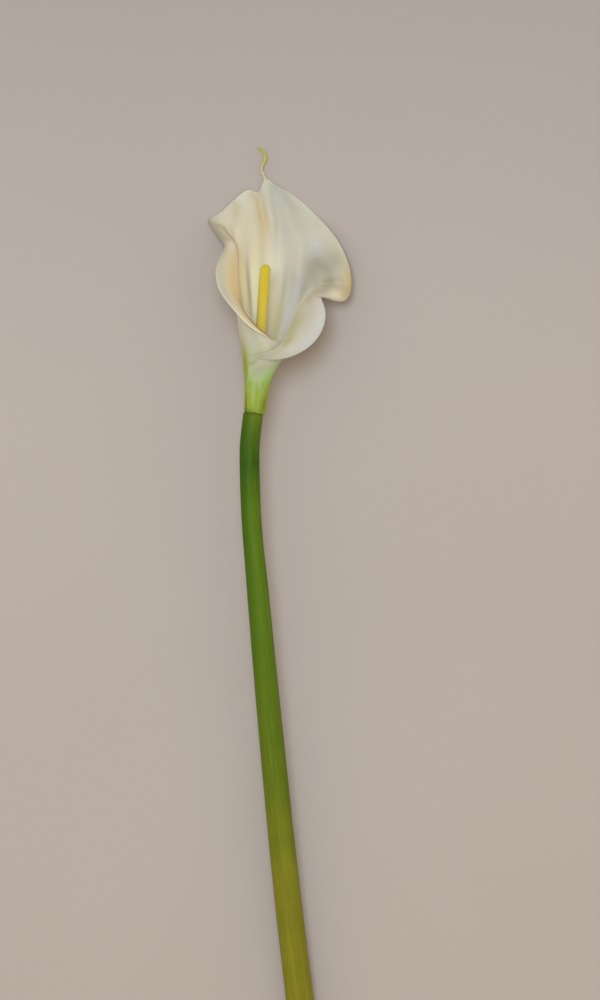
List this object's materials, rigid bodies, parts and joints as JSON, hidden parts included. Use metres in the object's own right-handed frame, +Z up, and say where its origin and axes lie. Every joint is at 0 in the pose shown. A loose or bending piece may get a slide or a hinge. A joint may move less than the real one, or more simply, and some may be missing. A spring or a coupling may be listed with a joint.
{
  "type": "calla lily flower",
  "caption": "Single cut calla lily: a white funnel-shaped spathe with a curly tip and a yellow spadix, on a long smooth green stem, lying on its back.",
  "frame": {"origin": "on the surface the flower lies on, under the middle of its bounding box", "axes": "+Y from the cut end of the stem to the tip of the spathe, +Z up from the surface, which is the way the flower's opening faces, +X to the right seen from above with the tip pointing away"},
  "size_m": [0.087, 0.6008, 0.0477],
  "materials": {
    "green_stem": "smooth waxy plant stem, deep green under the flower and yellow-green at the cut end",
    "white_spathe": "waxy cream-white leaf with faint lengthwise veins, green towards its tube",
    "yellow_spadix": "dry golden-yellow spike covered in tiny florets"
  },
  "bodies": {
    "root": {"stem": "green_stem", "spathe": "white_spathe", "spadix": "yellow_spadix"}
  },
  "joints": []
}
